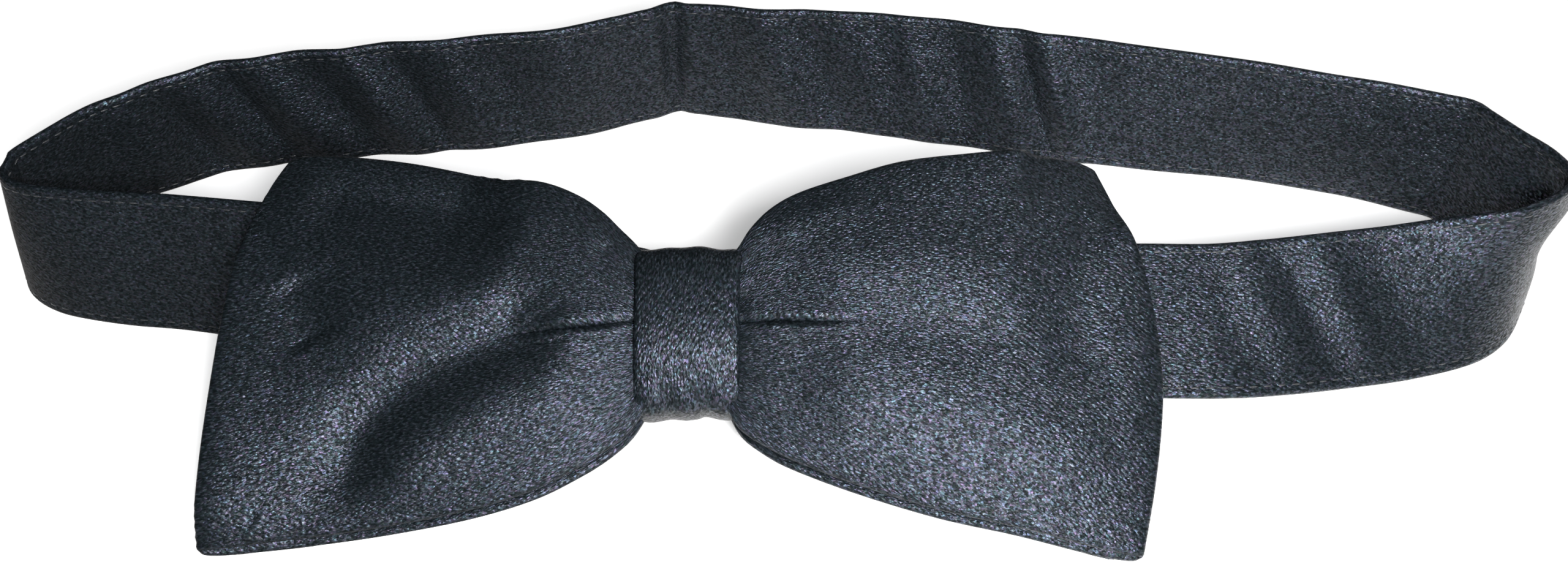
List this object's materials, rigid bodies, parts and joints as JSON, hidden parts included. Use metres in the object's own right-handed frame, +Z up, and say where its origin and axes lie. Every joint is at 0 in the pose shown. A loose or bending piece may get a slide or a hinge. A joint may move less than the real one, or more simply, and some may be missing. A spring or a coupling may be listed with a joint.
{
  "type": "banded bow tie",
  "caption": "Pre-tied satin bow tie on a closed neck band, with flexing loops, a wrapped knot, a hook and eye and a sliding length adjuster.",
  "frame": {"origin": "centre of the object's bounding box, on the table it lies on", "axes": "+X along the bow to the wearer's left loop seen from the front (to the right in the front view), +Y from the bow to the back of the neck band, +Z up"},
  "size_m": [0.2254, 0.0916, 0.0298],
  "materials": {
    "satin": "black satin with a soft sheen",
    "canvas": "matt woven interlining",
    "thread": "black polyester sewing thread",
    "nickel": "nickel-plated stamped steel"
  },
  "bodies": {
    "bow": {"bow_waist": "satin", "gather_thread": "thread", "knot_wrap": "satin", "knot_interlining": "canvas", "knot_back_stitches": "thread", "strap_front_left": "satin", "strap_front_left_interlining": "canvas", "eye": "nickel", "eye_tab": "satin", "eye_tab_interlining": "canvas", "eye_tab_stitches": "thread"},
    "left_wing": {"left_loop": "satin", "left_loop_interlining": "canvas"},
    "right_wing": {"right_loop": "satin", "right_loop_interlining": "canvas"},
    "rear_left_band": {"strap_rear_left": "satin", "strap_rear_left_interlining": "canvas"},
    "rear_right_band": {"strap_rear_right": "satin", "strap_rear_right_interlining": "canvas"},
    "front_right_band": {"strap_front_right": "satin", "strap_front_right_interlining": "canvas", "strap_tail": "satin", "strap_tail_interlining": "canvas"},
    "slider": {"slider_frame": "nickel", "tail_end_loop": "satin", "tail_stitches": "thread"},
    "hook": {"hook": "nickel"}
  },
  "joints": [
    {"name": "left_bend", "type": "hinge", "parent": "bow", "child": "rear_left_band", "pos_m": [-0.11205, 0.007, 0.011], "axis": [0, 0, 1], "range_deg": [0, 110]},
    {"name": "back_fold", "type": "hinge", "parent": "rear_left_band", "child": "rear_right_band", "pos_m": [-0.01575, 0.0455, 0.011], "axis": [0, 0, 1], "range_deg": [0, 33]},
    {"name": "right_bend", "type": "hinge", "parent": "rear_right_band", "child": "front_right_band", "pos_m": [0.11205, 0.0045, 0.011], "axis": [0, 0, 1], "range_deg": [0, 44]},
    {"name": "slider_slide", "type": "slide", "parent": "front_right_band", "child": "slider", "axis": [1, 0, 0], "range_m": [0, 0.025]},
    {"name": "hook_swing", "type": "hinge", "parent": "front_right_band", "child": "hook", "pos_m": [0.01845, -0.01193, 0.00814], "axis": [0, -0.8572, -0.515], "range_deg": [0, 45]},
    {"name": "left_wing_flex", "type": "hinge", "parent": "bow", "child": "left_wing", "pos_m": [-0.02325, -0.02016, 0.01503], "axis": [0, 0.8572, 0.515], "range_deg": [0, 25], "stiffness_Nm_per_rad": 0.004},
    {"name": "right_wing_flex", "type": "hinge", "parent": "bow", "child": "right_wing", "pos_m": [0.00055, -0.02016, 0.01503], "axis": [0, -0.8572, -0.515], "range_deg": [0, 25], "stiffness_Nm_per_rad": 0.004}
  ],
  "couplings": [
    {"joint": "back_fold", "follows": "left_bend", "ratio": 0.3},
    {"joint": "right_bend", "follows": "left_bend", "ratio": 0.4}
  ]
}
